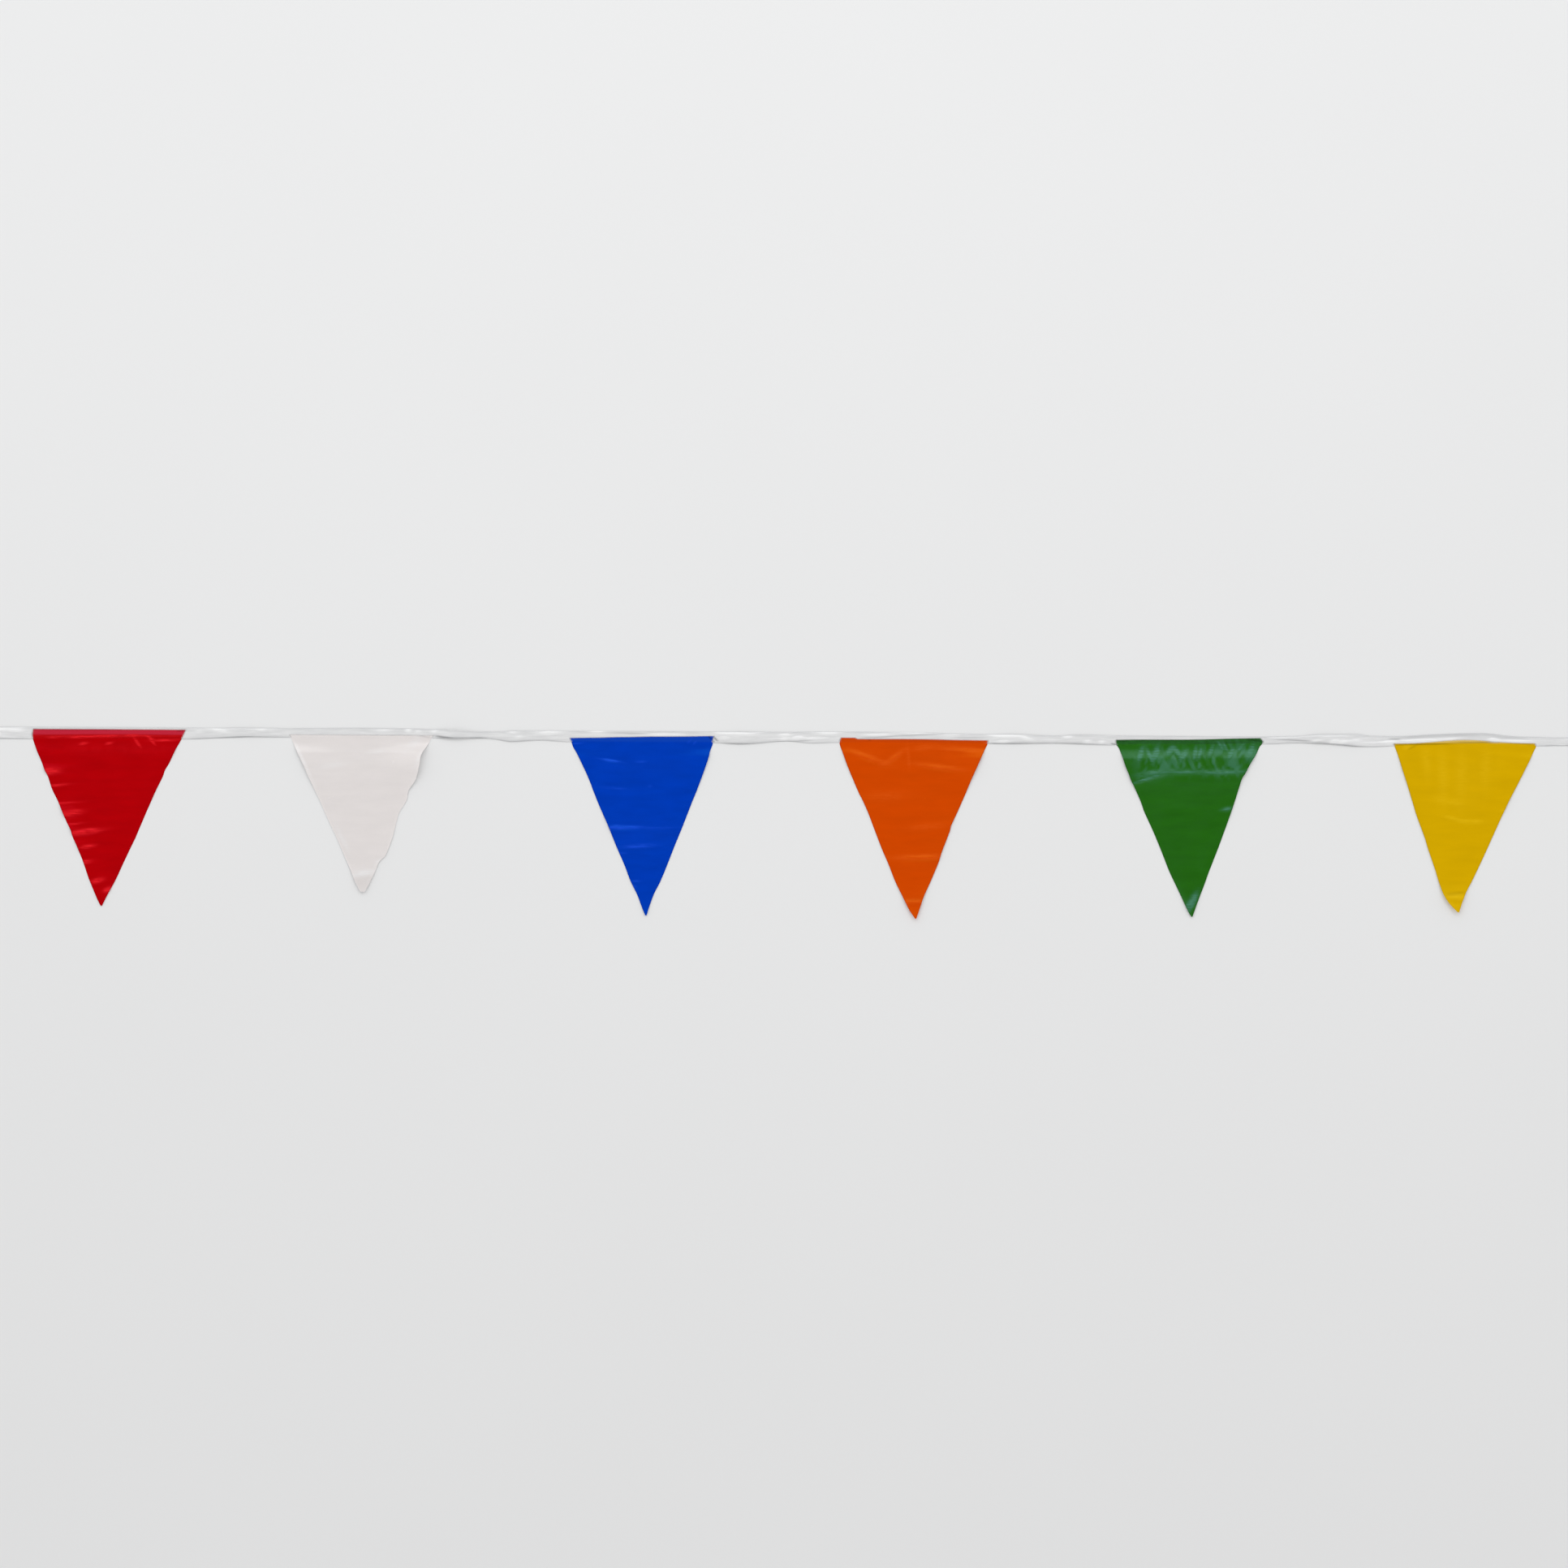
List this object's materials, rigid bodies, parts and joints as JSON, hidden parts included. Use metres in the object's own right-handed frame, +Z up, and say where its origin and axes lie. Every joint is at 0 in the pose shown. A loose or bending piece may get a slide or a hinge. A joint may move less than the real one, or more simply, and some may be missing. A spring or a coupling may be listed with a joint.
{
  "type": "pennant flag string",
  "caption": "Flat-lying bunting of coloured film pennants, each triangle tucked and welded into a folded film heading tape.",
  "frame": {"origin": "on the underside of the heading tape, halfway along the string, at the level of the surface it lies on", "axes": "+X along the tape to the right, +Y in the plane of the string from the pennants' tips towards the tape's folded edge, +Z up off the surface"},
  "size_m": [2.144, 0.2586, 0.0107],
  "materials": {
    "tape_film": "thin crinkled whitish polythene film, nearly clear where it is welded, glossy",
    "film_red": "thin red polythene film, semi-gloss, softly creased",
    "film_white": "thin white polythene film, semi-gloss, softly creased",
    "film_blue": "thin blue polythene film, semi-gloss, softly creased",
    "film_orange": "thin orange polythene film, semi-gloss, softly creased",
    "film_green": "thin green polythene film, semi-gloss, softly creased",
    "film_yellow": "thin yellow polythene film, semi-gloss, softly creased"
  },
  "bodies": {
    "root": {"heading_tape": "tape_film", "pennant_red": "film_red", "pennant_white": "film_white", "pennant_blue": "film_blue", "pennant_orange": "film_orange", "pennant_green": "film_green", "pennant_yellow": "film_yellow"}
  },
  "joints": []
}
